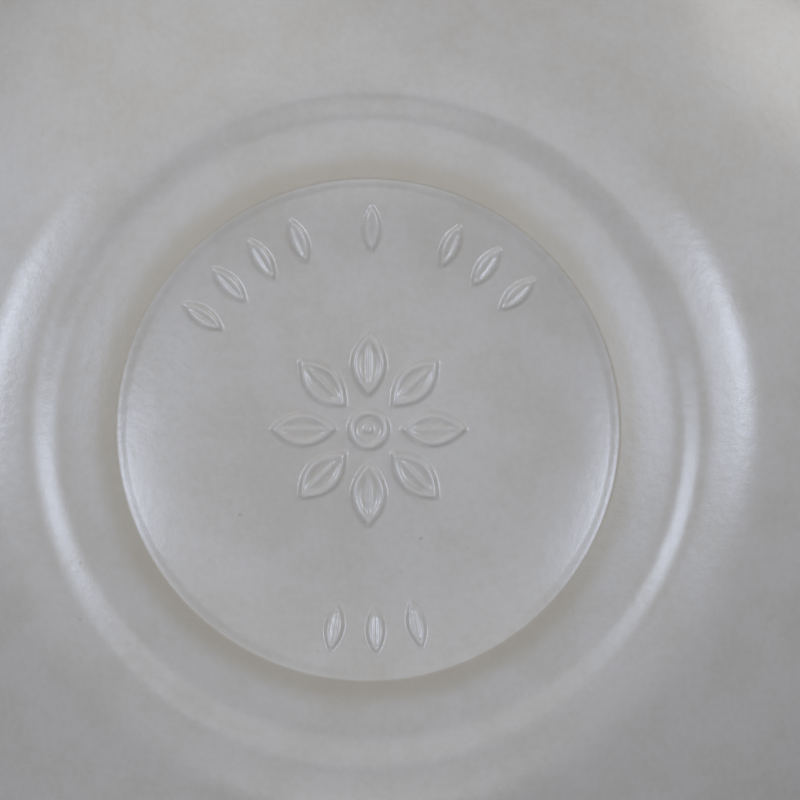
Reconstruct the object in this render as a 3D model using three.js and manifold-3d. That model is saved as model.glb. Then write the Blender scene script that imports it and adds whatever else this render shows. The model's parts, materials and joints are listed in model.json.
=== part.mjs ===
// A stoneware chip and dip server: a round chip plate with turned-up sides, and a dip bowl that stands
// in a low ring at its centre and lifts out. Millimetres, +Z up, origin on the table under the centre.
import * as THREE from "three";
import { mergeVertices } from "three/addons/utils/BufferGeometryUtils.js";
import Module from "manifold-3d";

// ---- Driving dimensions ----

// The chip plate. Heights are above the table.
const PLATE_RADIUS = 155.5; // out to the rolled rim's outermost point
const PLATE_HEIGHT = 46; // up to the rolled rim's top
const PLATE_WALL = 6.4;
const RIM_ROLL = 4.3; // radius of the rolled rim, more than half the wall
const RIM_LEAN = THREE.MathUtils.degToRad(50); // slope of the side where it meets the roll
const FLARE_LEAN = THREE.MathUtils.degToRad(15); // slope of the side where it leaves the foot

// The foot ring: a flat land, a soft slope inside it and a roll outside it that runs into the side.
const FOOT_RADIUS = 71; // middle of the land
const FOOT_LAND = 4;
const FOOT_SLOPE = 8; // width of the slope inside the land
const FOOT_ROLL = 8; // width of the roll outside it

// Inside the foot: a flat band, a small step, and a dished medallion with raised marks on it.
const BAND_HEIGHT = 1.9;
const BAND_WIDTH = 10;
const STEP_WIDTH = 1.4;
const STEP_HEIGHT = 0.5;
const DISH_RISE = 4; // from the medallion's edge to its centre
const DISH_POWER = 4; // how much flatter the dish is at its centre than at its edge

// The raised marks on the medallion.
const MARK_RELIEF = 0.6;
const GRAIN_LENGTH = 9.4;
const GRAIN_WIDTH = 3.6;
const GRAIN_MARGIN = 4.2; // from the grains' outer tips to the medallion's edge
const GRAIN_SPACING = 8.4; // along the arc through the grains' middles
const GRAIN_GROUPS = [ // direction of each group's middle, in degrees from +X, and its number of grains
  { middle: 52, count: 4 },
  { middle: 91, count: 1 },
  { middle: 126, count: 3 },
  { middle: 268, count: 3 },
];
const PETAL_COUNT = 8;
const PETAL_LENGTH = 13.4;
const PETAL_WIDTH = 7;
const PETAL_START = 6.6; // from the centre to each petal's inner tip
const BUTTON_RADIUS = 4.2;

// The plate's top face under the bowl, and the ring that the bowl's foot stands in.
const SEAT_RISE = 3.8; // of the seat above the plate's lowest top face, which is over the foot
const SEAT_CROWN = 2.4; // rise of the face inside the bowl's foot, which follows the dished medallion
const SEAT_CLEARANCE = 1.5; // radial gap from the ring to the bowl's foot
const SEAT_RING_WIDTH = 7;
const SEAT_RING_HEIGHT = 2.4;

// The dip bowl. Heights are above its own foot.
const BOWL_RADIUS = 67;
const BOWL_HEIGHT = 60;
const BOWL_WALL = 5.2;
const BOWL_RIM_ROLL = 3.6;
const BOWL_RIM_LEAN = THREE.MathUtils.degToRad(74);
const BOWL_BASE_LEAN = THREE.MathUtils.degToRad(14);
const BOWL_FOOT_RADIUS = 37; // middle of the land
const BOWL_FOOT_LAND = 3.2;
const BOWL_FOOT_SLOPE = 3;
const BOWL_FOOT_HEIGHT = 4.5;
const BOWL_RECESS = 4.2; // how far the underside inside the foot is above it

const REST_GAP = 0.3; // between the bowl's foot and the plate it stands on
const PLATE_SEGMENTS = 72;
const BOWL_SEGMENTS = 60;
const SLOPE_STEPS = 4; // straight pieces to a soft slope
const SIDE_STEPS = 8; // and to a side
const ROLL_STEPS = 7; // and to a rolled rim

// ---- Where the pieces' features fall ----

const landInner = FOOT_RADIUS - FOOT_LAND / 2;
const landOuter = FOOT_RADIUS + FOOT_LAND / 2;
const bandOuter = landInner - FOOT_SLOPE;
const bandInner = bandOuter - BAND_WIDTH;
const medallionRadius = bandInner - STEP_WIDTH;
const medallionEdgeHeight = BAND_HEIGHT + STEP_HEIGHT;
const seatFloor = PLATE_WALL + SEAT_RISE;
const bowlFootOuter = BOWL_FOOT_RADIUS + BOWL_FOOT_LAND / 2;
const bowlFootInner = BOWL_FOOT_RADIUS - BOWL_FOOT_LAND / 2;
const seatRingInner = bowlFootOuter + SEAT_CLEARANCE;

// ---- Outlines: points of (radius, height), from the axis under the piece to the axis above it ----

const point = (radius, height) => new THREE.Vector2(radius, height);

// A soft slope from one point to another, level at both ends; the first point is left out.
function softSlope(from, to) {
  const near = point(THREE.MathUtils.lerp(from.x, to.x, 0.4), from.y);
  const far = point(THREE.MathUtils.lerp(from.x, to.x, 0.6), to.y);
  return new THREE.CubicBezierCurve(from, near, far, to).getPoints(SLOPE_STEPS).slice(1);
}

// A curve that starts level and ends at a slope, over a given width.
function levelToLean(from, width, lean) {
  const to = point(from.x + width, from.y + (width / 2) * Math.tan(lean));
  return new THREE.QuadraticBezierCurve(from, point(from.x + width / 2, from.y), to);
}

// A curve that turns up from one lean to a steeper one.
function turnedUp(from, to, startLean, endLean) {
  const reach = from.distanceTo(to) * 0.38; // length of the handles, for an even bend
  return new THREE.CubicBezierCurve(
    from,
    point(from.x + reach * Math.cos(startLean), from.y + reach * Math.sin(startLean)),
    point(to.x - reach * Math.cos(endLean), to.y - reach * Math.sin(endLean)),
    to,
  );
}

// Both faces of a wall along curves that meet smoothly: up its underside, and back down its inside.
function wallAlong(curves, wall) {
  const under = [];
  const inside = [];
  for (const { curve, steps } of curves) {
    for (let i = under.length ? 1 : 0; i <= steps; i++) {
      const along = curve.getTangent(i / steps);
      const place = curve.getPoint(i / steps);
      under.push(place);
      inside.unshift(place.clone().addScaledVector(point(-along.y, along.x), wall));
    }
  }
  return { under, inside };
}

// The middle of the underside's last point, out of the rolled rim's centre at the side's lean.
function sideTop(rollCentre, wall, lean) {
  return rollCentre.clone().addScaledVector(point(Math.sin(lean), -Math.cos(lean)), wall / 2);
}

// The rolled rim, from where the wall's underside runs into it to where its inside comes out.
function rolledRim(centre, roll, wall, lean) {
  const turn = Math.asin(wall / 2 / roll);
  const arc = new THREE.EllipseCurve(
    centre.x, centre.y, roll, roll, lean - Math.PI + turn, lean + Math.PI - turn,
  );
  return arc.getPoints(ROLL_STEPS);
}

// Height of the dished medallion.
function dishHeight(radius) {
  return medallionEdgeHeight + DISH_RISE * (1 - (radius / medallionRadius) ** DISH_POWER);
}

// Height of the plate's top face inside the bowl's foot, level where it meets the seat.
function crownHeight(radius) {
  const share = radius / (bowlFootInner - BOWL_FOOT_SLOPE);
  return seatFloor + SEAT_CROWN * (1 - share ** 2) ** 2;
}

function plateOutline() {
  const dish = [0, 0.3, 0.55, 0.75, 0.9, 1].map((share) =>
    point(share * medallionRadius, dishHeight(share * medallionRadius)),
  );
  const crown = [1, 0.75, 0.5, 0.25, 0].map((share) => {
    const radius = share * (bowlFootInner - BOWL_FOOT_SLOPE);
    return point(radius, crownHeight(radius));
  });
  const rollCentre = point(PLATE_RADIUS - RIM_ROLL, PLATE_HEIGHT - RIM_ROLL);
  const footRoll = levelToLean(point(landOuter, 0), FOOT_ROLL, FLARE_LEAN);
  const side = turnedUp(
    footRoll.v2, sideTop(rollCentre, PLATE_WALL, RIM_LEAN), FLARE_LEAN, RIM_LEAN,
  );
  const { under, inside } = wallAlong(
    [{ curve: footRoll, steps: SLOPE_STEPS }, { curve: side, steps: SIDE_STEPS }], PLATE_WALL,
  );
  return [
    ...dish,
    point(bandInner, BAND_HEIGHT),
    point(bandOuter, BAND_HEIGHT),
    ...softSlope(point(bandOuter, BAND_HEIGHT), point(landInner, 0)),
    ...under.slice(0, -1), // the wall runs straight on into the roll, so its last point is inside it
    ...rolledRim(rollCentre, RIM_ROLL, PLATE_WALL, RIM_LEAN),
    ...inside.slice(1),
    ...seatRing(inside.at(-1)),
    ...crown,
  ];
}

// The rise from the plate's lowest top face to the seat, and the low ring round the bowl's foot.
function seatRing(from) {
  const ringOuter = seatRingInner + SEAT_RING_WIDTH;
  const outside = point(ringOuter, seatFloor);
  const crest = point((seatRingInner + ringOuter) / 2, seatFloor + SEAT_RING_HEIGHT);
  return [
    ...softSlope(from, outside),
    ...softSlope(outside, crest),
    ...softSlope(crest, point(seatRingInner, seatFloor)),
  ];
}

function bowlOutline() {
  const rollCentre = point(BOWL_RADIUS - BOWL_RIM_ROLL, BOWL_HEIGHT - BOWL_RIM_ROLL);
  const side = turnedUp(
    point(bowlFootOuter, BOWL_FOOT_HEIGHT), sideTop(rollCentre, BOWL_WALL, BOWL_RIM_LEAN),
    BOWL_BASE_LEAN, BOWL_RIM_LEAN,
  );
  const { under, inside } = wallAlong([{ curve: side, steps: SIDE_STEPS }], BOWL_WALL);
  const recessEdge = point(bowlFootInner - BOWL_FOOT_SLOPE, BOWL_RECESS);
  return [
    point(0, BOWL_RECESS),
    recessEdge,
    ...softSlope(recessEdge, point(bowlFootInner, 0)),
    point(bowlFootOuter, 0),
    ...under.slice(0, -1),
    ...rolledRim(rollCentre, BOWL_RIM_ROLL, BOWL_WALL, BOWL_RIM_LEAN),
    ...inside.slice(1),
    point(0, inside.at(-1).y - 0.4),
  ];
}

// ---- Solids ----

const manifold = await Module();
manifold.setup();

// A geometry with its shared vertices merged, as a solid that can be joined or cut.
function solidOf(geometry) {
  const plain = geometry.clone();
  plain.deleteAttribute("normal");
  plain.deleteAttribute("uv");
  const merged = mergeVertices(plain, 1e-4);
  return new manifold.Manifold(new manifold.Mesh({
    numProp: 3,
    vertProperties: merged.attributes.position.array,
    triVerts: new Uint32Array(merged.index.array),
  }));
}

function geometryOf(solid) {
  const mesh = solid.getMesh();
  const geometry = new THREE.BufferGeometry();
  geometry.setAttribute("position", new THREE.BufferAttribute(new Float32Array(mesh.vertProperties), 3));
  geometry.setIndex(new THREE.BufferAttribute(new Uint32Array(mesh.triVerts), 1));
  geometry.computeVertexNormals();
  return geometry;
}

// An outline turned round the Z axis.
function turned(outline, segments) {
  return new THREE.LatheGeometry(outline, segments).rotateX(Math.PI / 2);
}

// A raised mark of almond outline that points away from the centre: a plain grain or petal.
function almond(length, width, middleRadius, direction) {
  const outline = new THREE.Shape();
  outline.moveTo(-length / 2, 0);
  outline.quadraticCurveTo(0, -width, length / 2, 0);
  outline.quadraticCurveTo(0, width, -length / 2, 0);
  return raisedMark(outline, middleRadius, direction);
}

// A shape raised from the medallion, which follows its dish and is rooted a little way inside the clay.
function raisedMark(outline, radius, direction) {
  const root = 1;
  const mark = new THREE.ExtrudeGeometry(outline, {
    depth: MARK_RELIEF + root,
    bevelEnabled: false,
    curveSegments: 5,
  });
  mark.translate(radius, 0, -MARK_RELIEF);
  const places = mark.attributes.position;
  for (let i = 0; i < places.count; i++) {
    const fromCentre = Math.hypot(places.getX(i), places.getY(i));
    places.setZ(i, places.getZ(i) + dishHeight(fromCentre));
  }
  return mark.rotateZ(direction);
}

function raisedMarks() {
  const marks = [];
  const grainRadius = medallionRadius - GRAIN_MARGIN - GRAIN_LENGTH / 2;
  for (const { middle, count } of GRAIN_GROUPS) {
    for (let i = 0; i < count; i++) {
      const along = (i - (count - 1) / 2) * GRAIN_SPACING;
      const direction = THREE.MathUtils.degToRad(middle) + along / grainRadius;
      marks.push(almond(GRAIN_LENGTH, GRAIN_WIDTH, grainRadius, direction));
    }
  }
  for (let i = 0; i < PETAL_COUNT; i++) {
    const direction = (i / PETAL_COUNT) * 2 * Math.PI;
    marks.push(almond(PETAL_LENGTH, PETAL_WIDTH, PETAL_START + PETAL_LENGTH / 2, direction));
  }
  const button = new THREE.Shape();
  button.absarc(0, 0, BUTTON_RADIUS, 0, 2 * Math.PI);
  marks.push(raisedMark(button, 0, 0));
  return marks;
}

function chipPlate() {
  let solid = solidOf(turned(plateOutline(), PLATE_SEGMENTS));
  for (const mark of raisedMarks()) {
    solid = solid.add(solidOf(mark));
  }
  return geometryOf(solid);
}

// ---- The assembly ----

const glaze = new THREE.MeshStandardMaterial({ color: 0xd9d6cc, roughness: 0.35, metalness: 0 });

function piece(name, geometry, height) {
  const mesh = new THREE.Mesh(geometry, glaze.clone());
  mesh.name = name;
  mesh.position.z = height;
  return mesh;
}

const server = new THREE.Group();
server.add(
  piece("chip_plate", chipPlate(), 0),
  piece("dip_bowl", turned(bowlOutline(), BOWL_SEGMENTS), seatFloor + REST_GAP),
);

export default server;
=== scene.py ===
# %% [markdown]
# # A stoneware chip and dip server
# The server is two glazed pieces: a wide chip plate with turned-up sides, and a small dip bowl that stands
# in a low ring at the plate's middle and lifts out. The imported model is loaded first, as a fixed frame in
# metres. Everything made here goes where that frame says, so no piece has to be fitted by eye.

# %% Load the frame
import json
import math

import bmesh
import bpy
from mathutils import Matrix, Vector


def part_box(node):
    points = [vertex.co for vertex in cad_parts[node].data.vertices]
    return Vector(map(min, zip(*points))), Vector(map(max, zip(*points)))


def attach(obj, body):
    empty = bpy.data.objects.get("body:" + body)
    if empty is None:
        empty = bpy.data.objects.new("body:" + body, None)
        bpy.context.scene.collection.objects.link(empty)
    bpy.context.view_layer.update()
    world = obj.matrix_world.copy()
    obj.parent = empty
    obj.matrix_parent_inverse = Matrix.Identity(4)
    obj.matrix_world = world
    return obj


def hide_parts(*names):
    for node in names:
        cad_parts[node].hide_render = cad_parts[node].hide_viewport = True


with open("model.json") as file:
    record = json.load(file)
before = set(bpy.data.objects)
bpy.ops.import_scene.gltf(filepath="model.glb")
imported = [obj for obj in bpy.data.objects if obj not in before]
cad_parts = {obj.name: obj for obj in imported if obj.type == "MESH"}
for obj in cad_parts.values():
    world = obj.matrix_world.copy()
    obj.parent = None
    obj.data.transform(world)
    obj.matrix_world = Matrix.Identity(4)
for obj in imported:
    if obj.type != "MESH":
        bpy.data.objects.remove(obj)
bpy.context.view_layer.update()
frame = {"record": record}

MM = 0.001

# %% [markdown]
# ## The sizes that drive the shapes
# A potter's drawing gives a plate as a few radii and heights, and the rest is smooth curves between them.
# The same few numbers drive both pieces here. The outer sizes come from the boxes of the frame's nodes,
# and the foot's radius from the record's mount, so that the shapes made below fill the same space.

# %% Sizes from the frame
plate_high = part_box("chip_plate")[1]
bowl_low, bowl_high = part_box("dip_bowl")
mounts = {mount["name"]: mount for mount in frame["record"]["mounts"]}

PLATE_RADIUS = plate_high[0]
PLATE_HEIGHT = plate_high[2]
BOWL_RADIUS = bowl_high[0]
BOWL_HEIGHT = bowl_high[2] - bowl_low[2]
FOOT_RADIUS = mounts["foot_rest"]["pos_m"][0]
print(f"plate {2000 * PLATE_RADIUS:.1f} mm wide, {1000 * PLATE_HEIGHT:.1f} mm deep, foot {2000 * FOOT_RADIUS:.0f} mm")
print(f"bowl {2000 * BOWL_RADIUS:.1f} mm wide, {1000 * BOWL_HEIGHT:.1f} mm deep, {1000 * bowl_low[2]:.1f} mm up")

# %% Sizes of the chip plate
PLATE_WALL = 6.4 * MM
RIM_ROLL = 4.3 * MM  # radius of the rolled rim
RIM_LEAN = math.radians(50)  # slope of the side at the rim
FLARE_LEAN = math.radians(15)  # slope of the side at the foot
FOOT_LAND = 4 * MM
FOOT_SLOPE = 8 * MM  # width of the slope inside the land
FOOT_ROLL = 8 * MM  # width of the roll outside it
BAND_HEIGHT = 1.9 * MM
BAND_WIDTH = 10 * MM
STEP_WIDTH = 1.4 * MM
STEP_HEIGHT = 0.5 * MM
DISH_RISE = 4 * MM
DISH_POWER = 4  # how much flatter the dish is at its centre than at its edge
MARK_RELIEF = 0.6 * MM
SEAT_RISE = 3.8 * MM
SEAT_CROWN = 2.4 * MM
SEAT_CLEARANCE = 1.5 * MM
SEAT_RING_WIDTH = 7 * MM
SEAT_RING_HEIGHT = 2.4 * MM

land_inner = FOOT_RADIUS - FOOT_LAND / 2
land_outer = FOOT_RADIUS + FOOT_LAND / 2
band_outer = land_inner - FOOT_SLOPE
band_inner = band_outer - BAND_WIDTH
medallion_radius = band_inner - STEP_WIDTH
medallion_edge_height = BAND_HEIGHT + STEP_HEIGHT
seat_floor = PLATE_WALL + SEAT_RISE
print(f"medallion {2000 * medallion_radius:.1f} mm wide, dished {1000 * DISH_RISE:.1f} mm")

# %% Sizes of the dip bowl
BOWL_WALL = 5.2 * MM
BOWL_RIM_ROLL = 3.6 * MM
BOWL_RIM_LEAN = math.radians(74)
BOWL_BASE_LEAN = math.radians(14)
BOWL_FOOT_RADIUS = 37 * MM
BOWL_FOOT_LAND = 3.2 * MM
BOWL_FOOT_SLOPE = 3 * MM
BOWL_FOOT_HEIGHT = 4.5 * MM
BOWL_RECESS = 4.2 * MM

bowl_foot_outer = BOWL_FOOT_RADIUS + BOWL_FOOT_LAND / 2
bowl_foot_inner = BOWL_FOOT_RADIUS - BOWL_FOOT_LAND / 2
seat_ring_inner = bowl_foot_outer + SEAT_CLEARANCE
print(f"bowl foot {2000 * bowl_foot_outer:.1f} mm wide in a ring of {2000 * seat_ring_inner:.1f} mm")

# %% [markdown]
# ## The camera
# The server is seen from underneath, square to its foot, from about arm's length. A long lens from
# further back would give flatter rings; this one is close enough for the turned-up side to fall away.
# The camera looks straight up with +Y at the top, and stands a little off the axis rather than tilting
# or shifting its lens.

# %% Place the camera
CAMERA_DISTANCE = 0.300  # below the table's surface
VIEW_WIDTH = 0.160  # that the picture covers at the table's surface
SENSOR_WIDTH = 36  # mm

camera_data = bpy.data.cameras.new("underside_camera")
camera_data.sensor_width = SENSOR_WIDTH
camera_data.lens = SENSOR_WIDTH * CAMERA_DISTANCE / VIEW_WIDTH
camera_data.clip_start = 0.01
camera_data.clip_end = 20
camera = bpy.data.objects.new("underside_camera", camera_data)
bpy.context.scene.collection.objects.link(camera)
camera.location = (-0.0064, 0.0060, -CAMERA_DISTANCE)
camera.rotation_euler = (0, math.pi, 0)
bpy.context.scene.camera = camera
print(f"lens {camera_data.lens:.1f} mm, {1000 * CAMERA_DISTANCE:.0f} mm below the foot")

# %% [markdown]
# ## Curves for an outline
# A pressed plate has no sharp corner: the clay follows a turned mould, and the glaze rounds it further.
# So its outline is built of Bezier curves that meet smoothly, each sampled finely. The alternatives are a
# coarse outline under a Subdivision Surface, which pulls away from the sizes that were set, or bevels on
# every corner, which give arcs but not the slow curve of the side.

# %% Curves between two points
def bezier(start, near, far, end, steps):
    """The points of a cubic Bezier curve and its directions there, with both ends."""
    points, directions = [], []
    for i in range(steps + 1):
        t = i / steps
        s = 1 - t
        points.append(s ** 3 * start + 3 * s * s * t * near + 3 * s * t * t * far + t ** 3 * end)
        along = s * s * (near - start) + 2 * s * t * (far - near) + t * t * (end - far)
        directions.append(along.normalized())
    return points, directions


def soft_slope(start, end, steps):
    """A slope that is level at both ends, without its first point."""
    near = Vector((start.x + 0.4 * (end.x - start.x), start.y))
    far = Vector((start.x + 0.6 * (end.x - start.x), end.y))
    return bezier(start, near, far, end, steps)[0][1:]


def straight(start, end, steps):
    """Evenly spaced points on a straight line, without its first point."""
    return [start.lerp(end, i / steps) for i in range(1, steps + 1)]


sample_slope = soft_slope(Vector((0, 0)), Vector((8 * MM, 2 * MM)), 4)
print("a slope 8 mm wide:", [f"{1000 * p.x:.1f}, {1000 * p.y:.2f}" for p in sample_slope])

# %% [markdown]
# ## The turned-up side and the rolled rim
# The wall keeps one thickness from the foot to the rim, as a pressed wall does. Its underside is drawn
# once, and its inside is the same curve moved square to itself by the wall. Both run into a rolled rim,
# a little thicker than the wall, which is what keeps a stoneware rim from chipping.

# %% The side and the rim
def lean_vector(lean):
    return Vector((math.cos(lean), math.sin(lean)))


def turned_up(start, end, start_lean, end_lean, steps):
    """A curve that leaves its start at one lean and arrives at its end at a steeper one."""
    reach = 0.38 * (end - start).length
    near = start + reach * lean_vector(start_lean)
    far = end - reach * lean_vector(end_lean)
    return bezier(start, near, far, end, steps)


def inside_of(points, directions, wall):
    """The wall's other face, in the order back from the rim."""
    moved = [p + wall * Vector((-d.y, d.x)) for p, d in zip(points, directions)]
    return moved[::-1]


def rim_centre(radius, height, roll):
    return Vector((radius - roll, height - roll))


def side_top(centre, wall, lean):
    """Where the wall's underside meets the rolled rim."""
    return centre + wall / 2 * Vector((math.sin(lean), -math.cos(lean)))


def rolled_rim(centre, roll, wall, lean, steps):
    """The round of the rim, from the wall's underside to its inside."""
    turn = math.asin(wall / 2 / roll)
    first, last = lean - math.pi + turn, lean + math.pi - turn
    angles = [first + (last - first) * i / steps for i in range(steps + 1)]
    return [centre + roll * lean_vector(angle) for angle in angles]


plate_rim = rim_centre(PLATE_RADIUS, PLATE_HEIGHT, RIM_ROLL)
print(f"the plate's rim turns round {1000 * plate_rim.x:.1f}, {1000 * plate_rim.y:.1f} mm")

# %% [markdown]
# ## The underside of the plate
# From the middle outwards the underside is a shallow dish with raised marks, a small step, a flat band,
# the soft slope of the foot, the level land that it stands on, and the roll into the side. The dish and
# the step are one function of the radius, because the finely gridded medallion and the turned outline
# outside it both need the same height where they meet.

# %% Height of the dish, the step and the band
STEP_START = 1.2 * MM  # how far inside the medallion's edge the glaze starts to round the step


def smooth(value):
    """Nought to one with level ends."""
    value = min(max(value, 0.0), 1.0)
    return value * value * (3 - 2 * value)


def dish_height(radius):
    return medallion_edge_height + DISH_RISE * (1 - (radius / medallion_radius) ** DISH_POWER)


def underside_height(radius):
    """Height of the underside from the middle out to the band."""
    first = medallion_radius - STEP_START
    share = min(max((radius - first) / (band_inner - first), 0), 1) ** 2
    return (1 - share) * dish_height(radius) + share * BAND_HEIGHT


for radius in (0, 30, 48, 50, 52):
    print(f"{radius} mm from the axis the underside is {1000 * underside_height(radius * MM):.2f} mm up")

# %% The plate's outline outside the medallion
SEAM_RADIUS = medallion_radius - 1.4 * MM  # where the turned outline takes over from the medallion's grid


def seat_outline(start):
    """From the plate's inside at the foot, over the low ring, to the crown at the axis."""
    ring_outer = seat_ring_inner + SEAT_RING_WIDTH
    outside = Vector((ring_outer, seat_floor))
    crest = Vector(((seat_ring_inner + ring_outer) / 2, seat_floor + SEAT_RING_HEIGHT))
    inside = Vector((seat_ring_inner, seat_floor))
    crown_edge = bowl_foot_inner - BOWL_FOOT_SLOPE
    points = soft_slope(start, outside, 14) + soft_slope(outside, crest, 6) + soft_slope(crest, inside, 6)
    points += straight(inside, Vector((crown_edge, seat_floor)), 4)
    for i in range(1, 13):
        share = 1 - i / 12
        points.append(Vector((crown_edge * share, seat_floor + SEAT_CROWN * (1 - share ** 2) ** 2)))
    return points


BAND_KEPT_SOFT = 4  # points of the band that the softening of the foot reaches over
SIDE_START = 15  # point of the wall's underside where the softening has ended
SOFTENING_PASSES = 7


def softened(points, passes):
    """Rounds a stretch of an outline as a melted glaze does, with its ends kept and its foot at nought."""
    for _ in range(passes):
        middle = [0.5 * b + 0.25 * (a + c) for a, b, c in zip(points, points[1:], points[2:])]
        points = [points[0], *middle, points[-1]]
    lowest = min(p.y for p in points)
    return [Vector((p.x, p.y - lowest * smooth(1 - p.y / BAND_HEIGHT))) for p in points]


def plate_outline():
    radii = [SEAM_RADIUS + i * 0.2 * MM for i in range(17)]
    points = [Vector((radius, underside_height(radius))) for radius in radii]
    points += straight(points[-1], Vector((band_outer, BAND_HEIGHT)), 8)
    first_of_foot = len(points) - BAND_KEPT_SOFT
    points += soft_slope(points[-1], Vector((land_inner, 0)), 18)
    points += straight(points[-1], Vector((land_outer, 0)), 6)
    roll_end = Vector((land_outer + FOOT_ROLL, FOOT_ROLL / 2 * math.tan(FLARE_LEAN)))
    middle = Vector((land_outer + FOOT_ROLL / 2, 0))
    roll, roll_directions = bezier(
        points[-1], points[-1].lerp(middle, 2 / 3), roll_end.lerp(middle, 2 / 3), roll_end, 12
    )
    side, side_directions = turned_up(
        roll_end, side_top(plate_rim, PLATE_WALL, RIM_LEAN), FLARE_LEAN, RIM_LEAN, 30
    )
    under, directions = roll + side[1:], roll_directions + side_directions[1:]
    inside = inside_of(under, directions, PLATE_WALL)
    points += under[1:SIDE_START]
    points = points[:first_of_foot] + softened(points[first_of_foot:], SOFTENING_PASSES)
    points += under[SIDE_START:-1] + rolled_rim(plate_rim, RIM_ROLL, PLATE_WALL, RIM_LEAN, 22) + inside[1:]
    return points + seat_outline(inside[-1])


outline = plate_outline()
print(len(outline), "points, out to", f"{1000 * max(p.x for p in outline):.2f} mm")

# %% [markdown]
# ## Turning an outline
# A potter's wheel is a spin: the outline is drawn as a chain of edges in the XZ plane, and bmesh's spin
# turns it round the Z axis. A Screw modifier would do the same and stay editable, but the plate's middle
# has to be joined to the turned part, so real faces are needed. A full turn merges its last step with its
# first, and the points on the axis are merged after it.

# %% Spin an outline into a bmesh
def add_chain(shape, points):
    """The outline as a chain of vertices and edges in the XZ plane."""
    vertices = [shape.verts.new((p.x, 0, p.y)) for p in points]
    edges = [shape.edges.new(pair) for pair in zip(vertices, vertices[1:])]
    return vertices + edges


def spin_outline(shape, points, steps):
    chain = add_chain(shape, points)
    bmesh.ops.spin(
        shape, geom=chain, cent=(0, 0, 0), axis=(0, 0, 1), angle=2 * math.pi, steps=steps, use_merge=True
    )
    bmesh.ops.remove_doubles(shape, verts=shape.verts[:], dist=0.00001)


PLATE_STEPS = 216
plate_shape = bmesh.new()
spin_outline(plate_shape, outline, PLATE_STEPS)
print("turned part of the plate:", len(plate_shape.faces), "faces")

# %% [markdown]
# ## The raised marks
# Under the real plate a maker presses raised marks in the dish. Here they are plain grains in four groups
# and an eight-petal rosette, with no lettering. They stand about half a millimetre proud, and the glaze
# has rounded them. Separate solids sunk in the dish would leave hard creases round them, so the medallion
# is a fine grid instead, and each vertex is pushed down by a height that the marks' outlines give.

# %% Outlines of the marks
GRAIN_LENGTH = 9.4 * MM
GRAIN_WIDTH = 3.6 * MM
GRAIN_MARGIN = 4.2 * MM
GRAIN_SPACING = 8.4 * MM
GRAIN_GROUPS = [(52, 4), (91, 1), (126, 3), (268, 3)]  # degrees from +X, number of grains
PETAL_COUNT = 8
PETAL_LENGTH = 13.4 * MM
PETAL_WIDTH = 7 * MM
PETAL_START = 6.6 * MM
BUTTON_RADIUS = 4.2 * MM


def grain_directions():
    """Directions of the grains from the middle, in radians, and the radius that their middles are on."""
    middle_radius = medallion_radius - GRAIN_MARGIN - GRAIN_LENGTH / 2
    directions = []
    for degrees, count in GRAIN_GROUPS:
        for i in range(count):
            along = (i - (count - 1) / 2) * GRAIN_SPACING
            directions.append(math.radians(degrees) + along / middle_radius)
    return directions, middle_radius


grains, grain_radius = grain_directions()
petals = [2 * math.pi * i / PETAL_COUNT for i in range(PETAL_COUNT)]
petal_radius = PETAL_START + PETAL_LENGTH / 2
print(len(grains), "grains", len(petals), "petals")

# %% How far each mark stands out
EDGE = 0.85 * MM  # width of a mark's soft edge


def almond_depth(x, y, length, width):
    """How deep a point is inside an almond outline, or how far outside it, as a negative depth."""
    share = 2 * x / length
    return (width / 2 * (1 - share * share) - abs(y)) / math.hypot(1, 2 * width * share / length)


def grain_relief(x, y):
    depth = almond_depth(x, y, GRAIN_LENGTH, GRAIN_WIDTH)
    crease = 0.5 * smooth(1 - abs(y) / (0.6 * MM)) * smooth(2.6 - abs(6 * x / GRAIN_LENGTH))
    return smooth(0.35 + depth / EDGE) * (1 - crease)


def petal_relief(x, y):
    depth = almond_depth(x, y, PETAL_LENGTH, PETAL_WIDTH)
    hollow = 0.55 * smooth((depth - 0.9 * MM) / (0.9 * MM))
    vein = 0.5 * smooth(1 - abs(y) / (0.7 * MM)) * smooth(2.4 - abs(5 * x / PETAL_LENGTH))
    return smooth(0.35 + depth / EDGE) * (1 - hollow + vein * hollow / 0.55)


def button_relief(radius):
    depth = BUTTON_RADIUS - radius
    hollow = 0.7 * smooth((depth - 1.0 * MM) / (0.8 * MM)) * smooth((radius - 0.5 * MM) / (0.7 * MM))
    return smooth(0.35 + depth / EDGE) * (1 - hollow)


def turned_to(x, y, direction, middle_radius):
    """A point as seen from a mark: along the mark from its middle, and across it."""
    cosine, sine = math.cos(direction), math.sin(direction)
    return x * cosine + y * sine - middle_radius, y * cosine - x * sine


def mark_relief(x, y):
    """Share of the full relief at a point of the medallion."""
    radius = math.hypot(x, y)
    relief = button_relief(radius) if radius < BUTTON_RADIUS + EDGE else 0
    if radius < PETAL_START + PETAL_LENGTH + EDGE:
        marks, middle_radius, length, shape = petals, petal_radius, PETAL_LENGTH, petal_relief
    else:
        marks, middle_radius, length, shape = grains, grain_radius, GRAIN_LENGTH, grain_relief
    for direction in marks:
        along, across = turned_to(x, y, direction, middle_radius)
        if abs(along) < length / 2 + EDGE and abs(across) < 5 * MM:
            relief = max(relief, shape(along, across))
    return relief


print(f"relief at the middle of a petal: {mark_relief(petal_radius, 0):.2f} of {1000 * MARK_RELIEF:.1f} mm")

# %% The medallion's grid
CELL = 0.385 * MM

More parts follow.
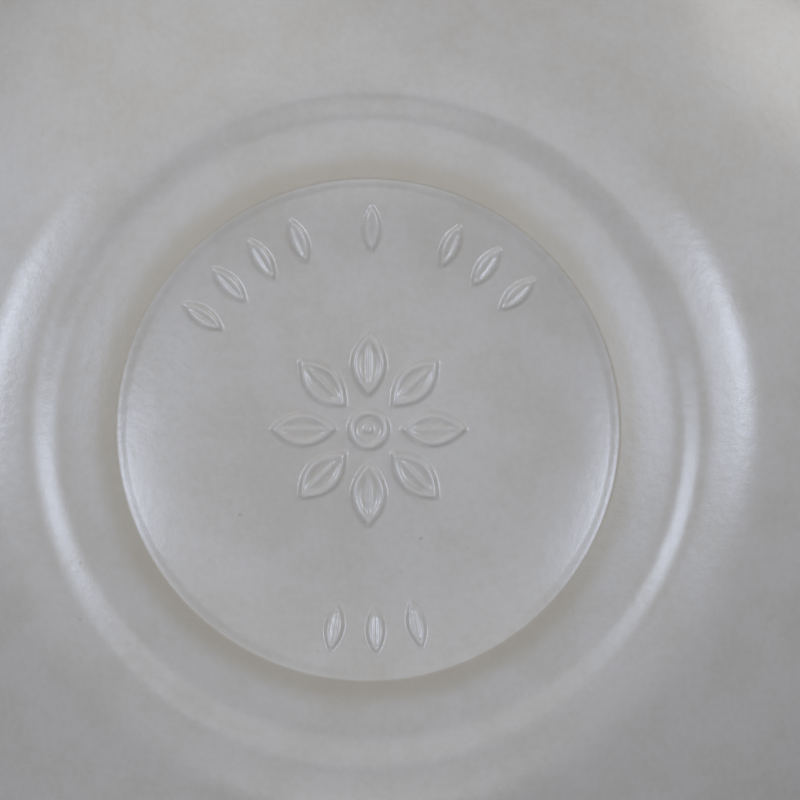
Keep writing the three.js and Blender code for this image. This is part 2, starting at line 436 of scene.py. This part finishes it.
medallion = bmesh.new()
cells = 2 * math.ceil(SEAM_RADIUS / CELL)
bmesh.ops.create_grid(medallion, x_segments=cells, y_segments=cells, size=cells * CELL / 2)
inner_edge = SEAM_RADIUS - 0.35 * MM
outside = [v for v in medallion.verts if v.co.xy.length > inner_edge]
bmesh.ops.delete(medallion, geom=outside, context="VERTS")
ragged = [v for v in medallion.verts if len(v.link_faces) < 2]
bmesh.ops.delete(medallion, geom=ragged, context="VERTS")

rim_vertices = [v for v in medallion.verts if v.is_boundary]
for vertex in rim_vertices:
    vertex.co.xy = vertex.co.xy.normalized() * inner_edge
near_rim = [v for v in medallion.verts if not v.is_boundary and v.co.xy.length > inner_edge - 4 * CELL]
for _ in range(12):
    bmesh.ops.smooth_vert(
        medallion, verts=near_rim, factor=0.5, use_axis_x=True, use_axis_y=True, use_axis_z=False
    )
for vertex in medallion.verts:
    x, y, _z = vertex.co
    vertex.co.z = underside_height(math.hypot(x, y)) - MARK_RELIEF * mark_relief(x, y)
print(len(medallion.faces), "faces,", len(rim_vertices), "vertices round the edge")

# %% [markdown]
# ## Joining the medallion to the turned plate
# The grid's edge and the turned outline's edge are two circles a third of a millimetre apart, with
# different numbers of vertices. Triangle fill takes both loops and closes the gap between them. After
# that the plate is one closed mesh, and its normals are made to face outwards in one go.

# %% One closed plate
def add_mesh(target, source):
    """Copies a bmesh into another one."""
    carrier = bpy.data.meshes.new("carrier")
    source.to_mesh(carrier)
    source.free()
    target.from_mesh(carrier)
    bpy.data.meshes.remove(carrier)


add_mesh(plate_shape, medallion)
open_edges = [edge for edge in plate_shape.edges if edge.is_boundary]
bmesh.ops.triangle_fill(plate_shape, use_beauty=True, use_dissolve=False, edges=open_edges)
bmesh.ops.recalc_face_normals(plate_shape, faces=plate_shape.faces[:])
still_open = sum(1 for edge in plate_shape.edges if not edge.is_manifold)
triangles = sum(len(face.verts) - 2 for face in plate_shape.faces)
print(f"joined along {len(open_edges)} edges, {still_open} open, {triangles} triangles")

# %% [markdown]
# ## The dip bowl
# The bowl is turned in the same way from its own outline: a small foot ring that fits inside the plate's
# ring, a base that leans out gently, sides that turn up almost straight, and a rolled rim. It stands where
# the frame has it, a hair above the plate.

# %% Turn the bowl
def bowl_outline():
    centre = rim_centre(BOWL_RADIUS, BOWL_HEIGHT, BOWL_RIM_ROLL)
    recess_edge = Vector((bowl_foot_inner - BOWL_FOOT_SLOPE, BOWL_RECESS))
    land_start, land_end = Vector((bowl_foot_inner, 0)), Vector((bowl_foot_outer, 0))
    base = Vector((bowl_foot_outer, BOWL_FOOT_HEIGHT))
    points = [Vector((0, BOWL_RECESS))] + straight(Vector((0, BOWL_RECESS)), recess_edge, 8)
    points += soft_slope(recess_edge, land_start, 8) + straight(land_start, land_end, 3)
    # the outside of the foot: how far out from the land's edge, and how far up, in mm
    foot_side = [(-0.3, 0.49), (-0.006, 1.372), (-0.104, 2.744), (-0.3, 3.92)]
    points += [land_end + Vector((out * MM, up * MM)) for out, up in foot_side]
    side, directions = turned_up(
        base, side_top(centre, BOWL_WALL, BOWL_RIM_LEAN), BOWL_BASE_LEAN, BOWL_RIM_LEAN, 30
    )
    inside = inside_of(side, directions, BOWL_WALL)
    points += side[:-1] + rolled_rim(centre, BOWL_RIM_ROLL, BOWL_WALL, BOWL_RIM_LEAN, 20) + inside[1:]
    floor = Vector((0, inside[-1].y - 0.4 * MM))
    return points + soft_slope(inside[-1], floor, 12)


BOWL_STEPS = 192
bowl_shape = bmesh.new()
lifted = [Vector((p.x, p.y + bowl_low[2])) for p in bowl_outline()]
spin_outline(bowl_shape, lifted, BOWL_STEPS)
bmesh.ops.recalc_face_normals(bowl_shape, faces=bowl_shape.faces[:])
print("bowl:", len(bowl_shape.faces), "faces,", sum(1 for e in bowl_shape.edges if not e.is_manifold), "open edges")

# %% [markdown]
# ## Where the glaze runs thick and thin, with painted shade and highlight
# A melted glaze draws off every rounded edge and gathers in every corner. Here its colour is darker and tan
# in hollow corners, which is painted shade together with the gathered glaze, and lighter on rounded edges,
# which is a painted highlight. A shader can find edges with the Pointiness output, but that is only for one
# renderer and is lost in an export. Here the bend of the surface is measured on the mesh itself, from how
# far each vertex lies from the mean of its neighbours, and stored as an attribute that the glaze reads.

# %% Measure the bend of the surface
BEND_RADIUS = 2.5 * MM  # a corner of this radius counts as half of a sharp one


def bend_at(vertex):
    """Above nought in a hollow corner and below nought on a rounded edge, between one and minus one."""
    neighbours = [edge.other_vert(vertex).co for edge in vertex.link_edges]
    mean = sum(neighbours, Vector()) / len(neighbours)
    spacing = sum((place - vertex.co).length_squared for place in neighbours) / len(neighbours)
    bend = 2 * (mean - vertex.co).dot(vertex.normal) / spacing
    return bend / (abs(bend) + 1 / BEND_RADIUS)


# The band next to the step gets painted shade: a darker tan, partly from glaze that ran there.
BAND_SHADE_WIDTH = 4.5 * MM  # how far the painted shade, with the glaze that ran off the foot's slope, lies over the band
BAND_SHADE_SHARE = 0.8


def band_shade_and_run(place):
    """Painted shade on the band against the medallion's step, with thicker glaze gathered there, on the underside
    only.
    """
    beyond = place.xy.length - band_inner
    if place.z > BAND_HEIGHT + STEP_HEIGHT or not -0.5 * MM < beyond < 3 * BAND_SHADE_WIDTH:
        return 0
    return BAND_SHADE_SHARE * math.exp(-((max(beyond, 0) / BAND_SHADE_WIDTH) ** 2))


def store_bend(shape, passes):
    """Adds the bend, smoothed a few times over, and the band's painted shade, as an attribute."""
    shape.normal_update()
    layer = shape.verts.layers.float.new("glaze_bend")
    shape.verts.ensure_lookup_table()
    values = [bend_at(vertex) for vertex in shape.verts]
    around = [[edge.other_vert(vertex).index for edge in vertex.link_edges] for vertex in shape.verts]
    for _ in range(passes):
        values = [0.5 * value + 0.5 * sum(values[i] for i in near) / len(near) for value, near in zip(values, around)]
    for vertex, value in zip(shape.verts, values):
        # the band's painted shade is added to the bend, so the glaze darkens it as it does a hollow corner
        vertex[layer] = value + band_shade_and_run(vertex.co)
    return min(values), max(values)


for shape in (plate_shape, bowl_shape):
    shape.verts.index_update()
    print("bend from %.2f to %.2f" % store_bend(shape, 3))

# %% Make the two pieces
def finished_piece(name, shape, body, node):
    mesh = bpy.data.meshes.new(name)
    shape.to_mesh(mesh)
    shape.free()
    mesh.shade_smooth()
    piece = bpy.data.objects.new(name, mesh)
    bpy.context.scene.collection.objects.link(piece)
    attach(piece, body)
    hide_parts(node)
    print(name, len(mesh.vertices), "vertices")
    return piece


glazed_plate = finished_piece("glazed_chip_plate", plate_shape, "plate", "chip_plate")
glazed_bowl = finished_piece("glazed_dip_bowl", bowl_shape, "bowl", "dip_bowl")

# %% [markdown]
# ## The glaze
# The glaze is a satin, warm off-white over stoneware. Close to, it has a fine grain that makes its
# highlights sparkle, a soft mottle where it is a little thicker or thinner, a few iron specks that come
# through from the clay, and a darker tan tone in corners, which is painted shade together with glaze that
# has run there, and a lighter tone on rounded edges, which is a painted highlight. Both pieces wear the
# same glaze, so the mottle and specks, the grain, and the painted corner shade and edge highlight are node groups.

# %% Helpers for node groups
def new_group(name, inputs, outputs):
    """A shader node group with named sockets: name to (type, default)."""
    group = bpy.data.node_groups.new(name, "ShaderNodeTree")
    for in_out, sockets in (("INPUT", inputs), ("OUTPUT", outputs)):
        for socket_name, (kind, default) in sockets.items():
            socket = group.interface.new_socket(socket_name, in_out=in_out, socket_type="NodeSocket" + kind)
            if default is not None:
                socket.default_value = default
    return group, group.nodes.new("NodeGroupInput"), group.nodes.new("NodeGroupOutput")


def connect(tree, target, source):
    """Links a socket to another one, or sets it to a number or colour."""
    if isinstance(source, bpy.types.NodeSocket):
        tree.links.new(source, target)
    else:
        target.default_value = source


def math_node(tree, operation, *values, clamp=False):
    node = tree.nodes.new("ShaderNodeMath")
    node.operation = operation
    node.use_clamp = clamp
    for socket, value in zip(node.inputs, values):
        connect(tree, socket, value)
    return node.outputs[0]


def noise_node(tree, vector, scale, detail=2.0, roughness=0.5):
    node = tree.nodes.new("ShaderNodeTexNoise")
    connect(tree, node.inputs["Vector"], vector)
    connect(tree, node.inputs["Scale"], scale)
    node.inputs["Detail"].default_value = detail
    node.inputs["Roughness"].default_value = roughness
    return node.outputs["Fac"]


def range_node(tree, value, from_low, from_high, to_low=0.0, to_high=1.0):
    node = tree.nodes.new("ShaderNodeMapRange")
    node.interpolation_type = "SMOOTHSTEP"
    for socket_name, given in zip(
        ("Value", "From Min", "From Max", "To Min", "To Max"), (value, from_low, from_high, to_low, to_high)
    ):
        connect(tree, node.inputs[socket_name], given)
    return node.outputs["Result"]


def mix_node(tree, share, first, second):
    node = tree.nodes.new("ShaderNodeMix")
    node.data_type = "RGBA"
    connect(tree, node.inputs[0], share)
    connect(tree, node.inputs[6], first)
    connect(tree, node.inputs[7], second)
    return node.outputs[2]


print("node helpers ready")

# %% Mottle and iron specks
mottle_group, given, out = new_group(
    "glaze_mottle",
    {
        "Place": ("Vector", None), "Glaze": ("Color", (0.7, 0.68, 0.64, 1)),
        "Thick Glaze": ("Color", (0.6, 0.55, 0.46, 1)), "Iron": ("Color", (0.4, 0.3, 0.16, 1)),
        "Mottle": ("Float", 0.6), "Specks": ("Float", 0.5),
    },
    {"Color": ("Color", None), "Speck": ("Float", None)},
)
broad = noise_node(mottle_group, given.outputs["Place"], 70.0, detail=3.0, roughness=0.6)
fine = noise_node(mottle_group, given.outputs["Place"], 640.0, detail=3.0, roughness=0.7)
broad_cloud = range_node(mottle_group, broad, 0.38, 0.66, 0, 0.6)
fine_cloud = range_node(mottle_group, fine, 0.38, 0.66, 0, 0.4)
cloud = math_node(mottle_group, "ADD", broad_cloud, fine_cloud)
cloud = math_node(mottle_group, "MULTIPLY", cloud, given.outputs["Mottle"])
mottled = mix_node(mottle_group, cloud, given.outputs["Glaze"], given.outputs["Thick Glaze"])
spots = mottle_group.nodes.new("ShaderNodeTexVoronoi")
connect(mottle_group, spots.inputs["Vector"], given.outputs["Place"])
spots.inputs["Scale"].default_value = 190.0
spot_pick = mottle_group.nodes.new("ShaderNodeSeparateColor")
mottle_group.links.new(spots.outputs["Color"], spot_pick.inputs["Color"])
rare = math_node(mottle_group, "GREATER_THAN", spot_pick.outputs["Red"], 0.93)
size = math_node(mottle_group, "MULTIPLY_ADD", spot_pick.outputs["Green"], 0.10, 0.04)
spot = range_node(mottle_group, spots.outputs["Distance"], size, 0.0)
rare_spot = math_node(mottle_group, "MULTIPLY", spot, rare)
speck = math_node(mottle_group, "MULTIPLY", rare_spot, given.outputs["Specks"], clamp=True)
connect(mottle_group, out.inputs["Color"], mix_node(mottle_group, speck, mottled, given.outputs["Iron"]))
connect(mottle_group, out.inputs["Speck"], speck)
print(mottle_group.name, len(mottle_group.nodes), "nodes")

# %% Grain of the surface
grain_group, given, out = new_group(
    "glaze_grain",
    {"Place": ("Vector", None), "Grain": ("Float", 0.014), "Waviness": ("Float", 0.05)},
    {"Height": ("Float", None), "Fineness": ("Float", None)},
)
sand = noise_node(grain_group, given.outputs["Place"], 2600.0, detail=2.0, roughness=0.6)
orange_peel = noise_node(grain_group, given.outputs["Place"], 520.0, detail=2.0, roughness=0.5)
wave = noise_node(grain_group, given.outputs["Place"], 45.0, detail=1.0)
grain_height = math_node(grain_group, "MULTIPLY", sand, given.outputs["Grain"])
peel_grain = math_node(grain_group, "MULTIPLY", given.outputs["Grain"], 2.5)
peel_height = math_node(grain_group, "MULTIPLY", orange_peel, peel_grain)
wave_height = math_node(grain_group, "MULTIPLY", wave, given.outputs["Waviness"])
fine_height = math_node(grain_group, "ADD", grain_height, peel_height)
total = math_node(grain_group, "ADD", fine_height, wave_height)
connect(grain_group, out.inputs["Height"], total)
connect(grain_group, out.inputs["Fineness"], sand)
print(grain_group.name, len(grain_group.nodes), "nodes")

# %% Painted shade in corners and painted highlight on edges
flow_and_light_group, given, out = new_group(
    "glaze_flow_and_painted_light",
    {
        "Color": ("Color", (0.7, 0.68, 0.64, 1)), "Bend": ("Float", 0.0), "Pooled Shade": ("Color", (0.52, 0.45, 0.32, 1)),
        "Edge Highlight": ("Color", (0.74, 0.71, 0.66, 1)), "Pooling And Shade": ("Float", 0.6), "Edge Highlight Share": ("Float", 0.5),
        "Roughness": ("Float", 0.4), "Fineness": ("Float", 0.5),
    },
    {"Color": ("Color", None), "Roughness": ("Float", None)},
)
SLIGHT_BEND, FULL_BEND = 0.05, 0.75  # where the painted corner shade and edge highlight start, and where they are full
hollow = range_node(flow_and_light_group, given.outputs["Bend"], SLIGHT_BEND, FULL_BEND)
rounded = range_node(flow_and_light_group, given.outputs["Bend"], -SLIGHT_BEND, -FULL_BEND)
pooled_shade = math_node(flow_and_light_group, "MULTIPLY", hollow, given.outputs["Pooling And Shade"])
edge_highlight = math_node(flow_and_light_group, "MULTIPLY", rounded, given.outputs["Edge Highlight Share"])
# painted shade: darker tan in hollow corners, together with glaze that gathered there
shade = mix_node(flow_and_light_group, pooled_shade, given.outputs["Color"], given.outputs["Pooled Shade"])
# painted highlight: a lighter colour on rounded edges
shade = mix_node(flow_and_light_group, edge_highlight, shade, given.outputs["Edge Highlight"])
gloss = math_node(flow_and_light_group, "MULTIPLY_ADD", given.outputs["Fineness"], 0.10, -0.05)
gloss = math_node(flow_and_light_group, "ADD", given.outputs["Roughness"], gloss)
gloss = math_node(flow_and_light_group, "MULTIPLY_ADD", pooled_shade, -0.04, gloss)
connect(flow_and_light_group, out.inputs["Color"], shade)
connect(flow_and_light_group, out.inputs["Roughness"], gloss)
print(flow_and_light_group.name, len(flow_and_light_group.nodes), "nodes")

# %% [markdown]
# ## A glaze for each piece
# Each material places the three groups with its own values. The bowl's pattern is read from another
# part of the same noise, so that the two pieces don't carry the same specks. The bump turns the grain's
# height into a change of the normal, which is enough for a grain this fine; everything larger is real
# geometry.

# %% The glaze of a piece
BODY_ROUGHNESS = 0.25
GLAZE_IOR = 1.62


def glaze_material(name, glaze, offset, pooling_and_shade, specks):
    material = bpy.data.materials.new(name)
    material.use_nodes = True
    tree = material.node_tree
    shader = tree.nodes["Principled BSDF"]
    place = tree.nodes.new("ShaderNodeTexCoord").outputs["Object"]
    mapping = tree.nodes.new("ShaderNodeMapping")
    mapping.inputs["Location"].default_value = offset
    tree.links.new(place, mapping.inputs["Vector"])
    # the bend attribute also carries the band's painted shade
    bend = tree.nodes.new("ShaderNodeAttribute")
    bend.attribute_name = "glaze_bend"

    groups = {}
    for group in (mottle_group, grain_group, flow_and_light_group):
        node = tree.nodes.new("ShaderNodeGroup")
        node.node_tree = group
        groups[group.name] = node
    mottle, grain, flow_and_light = groups["glaze_mottle"], groups["glaze_grain"], groups["glaze_flow_and_painted_light"]
    tree.links.new(mapping.outputs["Vector"], mottle.inputs["Place"])
    tree.links.new(mapping.outputs["Vector"], grain.inputs["Place"])
    mottle.inputs["Glaze"].default_value = (*glaze, 1)
    mottle.inputs["Specks"].default_value = specks
    tree.links.new(mottle.outputs["Color"], flow_and_light.inputs["Color"])
    tree.links.new(bend.outputs["Fac"], flow_and_light.inputs["Bend"])
    tree.links.new(grain.outputs["Fineness"], flow_and_light.inputs["Fineness"])
    # share of the painted corner shade
    flow_and_light.inputs["Pooling And Shade"].default_value = pooling_and_shade
    flow_and_light.inputs["Roughness"].default_value = BODY_ROUGHNESS

    bump = tree.nodes.new("ShaderNodeBump")
    bump.inputs["Distance"].default_value = MM
    bump.inputs["Strength"].default_value = 1.0
    tree.links.new(grain.outputs["Height"], bump.inputs["Height"])
    tree.links.new(bump.outputs["Normal"], shader.inputs["Normal"])
    tree.links.new(flow_and_light.outputs["Color"], shader.inputs["Base Color"])
    tree.links.new(flow_and_light.outputs["Roughness"], shader.inputs["Roughness"])
    shader.inputs["IOR"].default_value = GLAZE_IOR
    return material


GLAZE = (0.69, 0.655, 0.60)
plate_glaze = glaze_material("satin_glaze_plate", GLAZE, (0, 0, 0), pooling_and_shade=0.55, specks=0.5)
bowl_glaze = glaze_material("satin_glaze_bowl", GLAZE, (0.37, 0.21, 0.13), pooling_and_shade=0.5, specks=0.55)
glazed_plate.data.materials.append(plate_glaze)
glazed_bowl.data.materials.append(bowl_glaze)
print("glazes:", plate_glaze.name, bowl_glaze.name)

# %% [markdown]
# ## The floor
# The server stands on a plain pale floor. The main view is from underneath, as if through a glass table,
# so the floor shows only from above: seen from its back it is transparent, and it neither blocks nor
# returns any light. Everything above it is lit as in an ordinary studio.

# %% A floor that shows from above only
def pale_floor(size, drop):
    shape = bmesh.new()
    bmesh.ops.create_grid(shape, x_segments=1, y_segments=1, size=size / 2)
    bmesh.ops.translate(shape, verts=shape.verts[:], vec=(0, 0, -drop))
    mesh = bpy.data.meshes.new("pale_floor")
    shape.to_mesh(mesh)
    shape.free()
    floor = bpy.data.objects.new("pale_floor", mesh)
    bpy.context.scene.collection.objects.link(floor)
    floor.visible_shadow = False
    floor.visible_diffuse = False
    floor.visible_glossy = False
    floor.visible_transmission = False
    return floor


floor = pale_floor(size=12, drop=0.0004)
floor_material = bpy.data.materials.new("pale_floor")
floor_material.use_nodes = True
tree = floor_material.node_tree
paint = tree.nodes["Principled BSDF"]
paint.inputs["Base Color"].default_value = (0.46, 0.46, 0.47, 1)
paint.inputs["Roughness"].default_value = 0.7
clear = tree.nodes.new("ShaderNodeBsdfTransparent")
side_of_floor = tree.nodes.new("ShaderNodeNewGeometry")
either = tree.nodes.new("ShaderNodeMixShader")
tree.links.new(side_of_floor.outputs["Backfacing"], either.inputs[0])
tree.links.new(paint.outputs[0], either.inputs[1])
tree.links.new(clear.outputs[0], either.inputs[2])
tree.links.new(either.outputs[0], tree.nodes["Material Output"].inputs["Surface"])
floor.data.materials.append(floor_material)
print("floor made")

# %% [markdown]
# ## The light
# Above, a large soft key light, a weaker fill and a top light stand for an ordinary studio. Underneath,
# cool soft lights stand for windows on both sides of the camera and a lamp near it, and draw the
# highlights on the dish, the foot and the marks. Weaker neutral ones stand for pale walls and a ceiling,
# and give the body of the glaze its even grey. The directions are given as seen by the camera: from its
# right, anticlockwise, and away from its line of sight.

# %% Lights
def aim(light_object, target):
    direction = Vector(target) - light_object.location
    light_object.rotation_euler = direction.to_track_quat("-Z", "Y").to_euler()


def soft_light(name, location, size, power, color, target=(0, 0, 0)):
    data = bpy.data.lights.new(name, "AREA")
    data.shape = "ELLIPSE"
    data.size, data.size_y = size
    data.energy = power
    data.color = color
    light = bpy.data.objects.new(name, data)
    bpy.context.scene.collection.objects.link(light)
    light.location = location
    light.visible_camera = False
    aim(light, target)
    return light


def from_below(turn, off_axis, distance):
    """A place under the plate, turned from the camera's right and away from its line of sight."""
    turn, off_axis = math.radians(turn), math.radians(off_axis)
    across = distance * math.sin(off_axis)
    return (-across * math.cos(turn), across * math.sin(turn), -distance * math.cos(off_axis))


COOL = (0.72, 0.80, 1.0)
NEUTRAL = (1.0, 0.99, 0.965)
UNDER_LIGHTS = [  # name, turn, off axis, distance, width, power, colour
    ("window_right", 11, 27, 0.9, 0.20, 1.25, COOL),
    ("window_right_near", 4, 18, 0.9, 0.18, 0.42, COOL),
    ("lamp_by_camera", 0, 9, 0.9, 0.20, 0.15, COOL),
    ("window_left", 168, 27, 0.9, 0.20, 1.40, COOL),
    ("window_far_left", 154, 50, 0.9, 0.30, 0.38, COOL),
    ("ceiling_upper_left", 120, 47, 0.4, 0.30, 0.21, NEUTRAL),
    ("ceiling_top", 92, 17, 0.4, 0.22, 0.08, NEUTRAL),
    ("wall_upper_right", 41, 74, 0.4, 0.18, 0.20, NEUTRAL),
    ("wall_below", 268, 28, 0.9, 0.30, 0.40, NEUTRAL),
    ("wall_lower_left", 246, 64, 0.9, 0.40, 0.42, NEUTRAL),
]
for light_name, turn, off_axis, distance, width, power, color in UNDER_LIGHTS:
    soft_light(light_name, from_below(turn, off_axis, distance), (width, width), power, color)
soft_light("studio_key", (-0.9, -1.0, 1.5), (1.2, 1.2), 38.0, (1.0, 0.98, 0.95))
soft_light("studio_fill", (1.3, 0.6, 1.0), (1.4, 1.4), 16.0, (0.95, 0.98, 1.0))
soft_light("studio_top", (0.1, 0.2, 1.8), (1.6, 1.6), 14.0, (1.0, 1.0, 1.0))

world = bpy.data.worlds.new("pale_room")
bpy.context.scene.world = world
world.use_nodes = True
world.node_tree.nodes["Background"].inputs["Color"].default_value = (0.95, 0.96, 1.0, 1)
world.node_tree.nodes["Background"].inputs["Strength"].default_value = 0.05
bpy.context.scene.view_settings.view_transform = "Standard"
bpy.context.scene.view_settings.look = "None"
